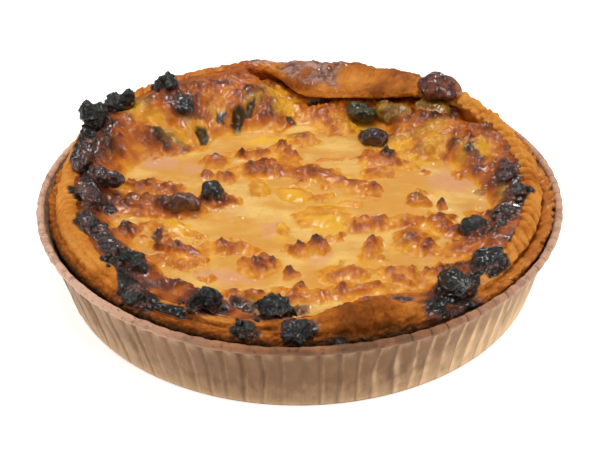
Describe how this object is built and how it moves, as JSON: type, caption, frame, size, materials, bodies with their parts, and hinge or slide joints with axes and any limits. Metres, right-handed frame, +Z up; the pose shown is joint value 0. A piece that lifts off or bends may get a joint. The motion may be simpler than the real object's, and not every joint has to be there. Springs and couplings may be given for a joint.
{
  "type": "apple tartlet",
  "caption": "Round baked apple tartlet in a pleated brown paper baking case with a rolled rim: ribbed shortcrust edge, lumpy browned filling and scorched apple pieces.",
  "frame": {"origin": "centre of the paper case's flat underside", "axes": "+Z up, along the case's axis; -Y towards the side with the low front edge, +X towards the round scorched pieces on the right"},
  "size_m": [0.12, 0.12, 0.0297],
  "materials": {
    "paper": "matte",
    "pastry": "matte",
    "filling": "satin",
    "apple_scorched": "satin",
    "apple_soft": "satin"
  },
  "bodies": {
    "root": {"paper_case": "paper", "pastry_crust": "pastry", "filling": "filling", "apple_front_right": "apple_scorched", "apple_right_glossy": "apple_scorched", "apple_right_round": "apple_scorched", "apple_right_low": "apple_scorched", "apple_right_middle": "apple_scorched", "apple_right_high": "apple_scorched", "apple_knob": "apple_scorched", "apple_soft_right": "apple_soft", "apple_soft_back": "apple_soft", "apple_skin_back": "apple_scorched", "apple_dark_back": "apple_scorched", "apple_spike_left": "apple_scorched", "apple_oval_left": "apple_scorched", "apple_crest_left": "apple_scorched", "apple_corner_left": "apple_scorched", "apple_ridge_left": "apple_scorched", "apple_strip_left": "apple_scorched", "apple_bar_left": "apple_scorched", "apple_dark_middle": "apple_scorched", "apple_brown_middle": "apple_scorched", "apple_patch_left": "apple_scorched", "apple_black_left": "apple_scorched", "apple_edge_left": "apple_scorched", "apple_spike_front": "apple_scorched", "apple_black_front": "apple_scorched", "apple_drip_front": "apple_scorched", "apple_lip_front": "apple_scorched"}
  },
  "joints": []
}
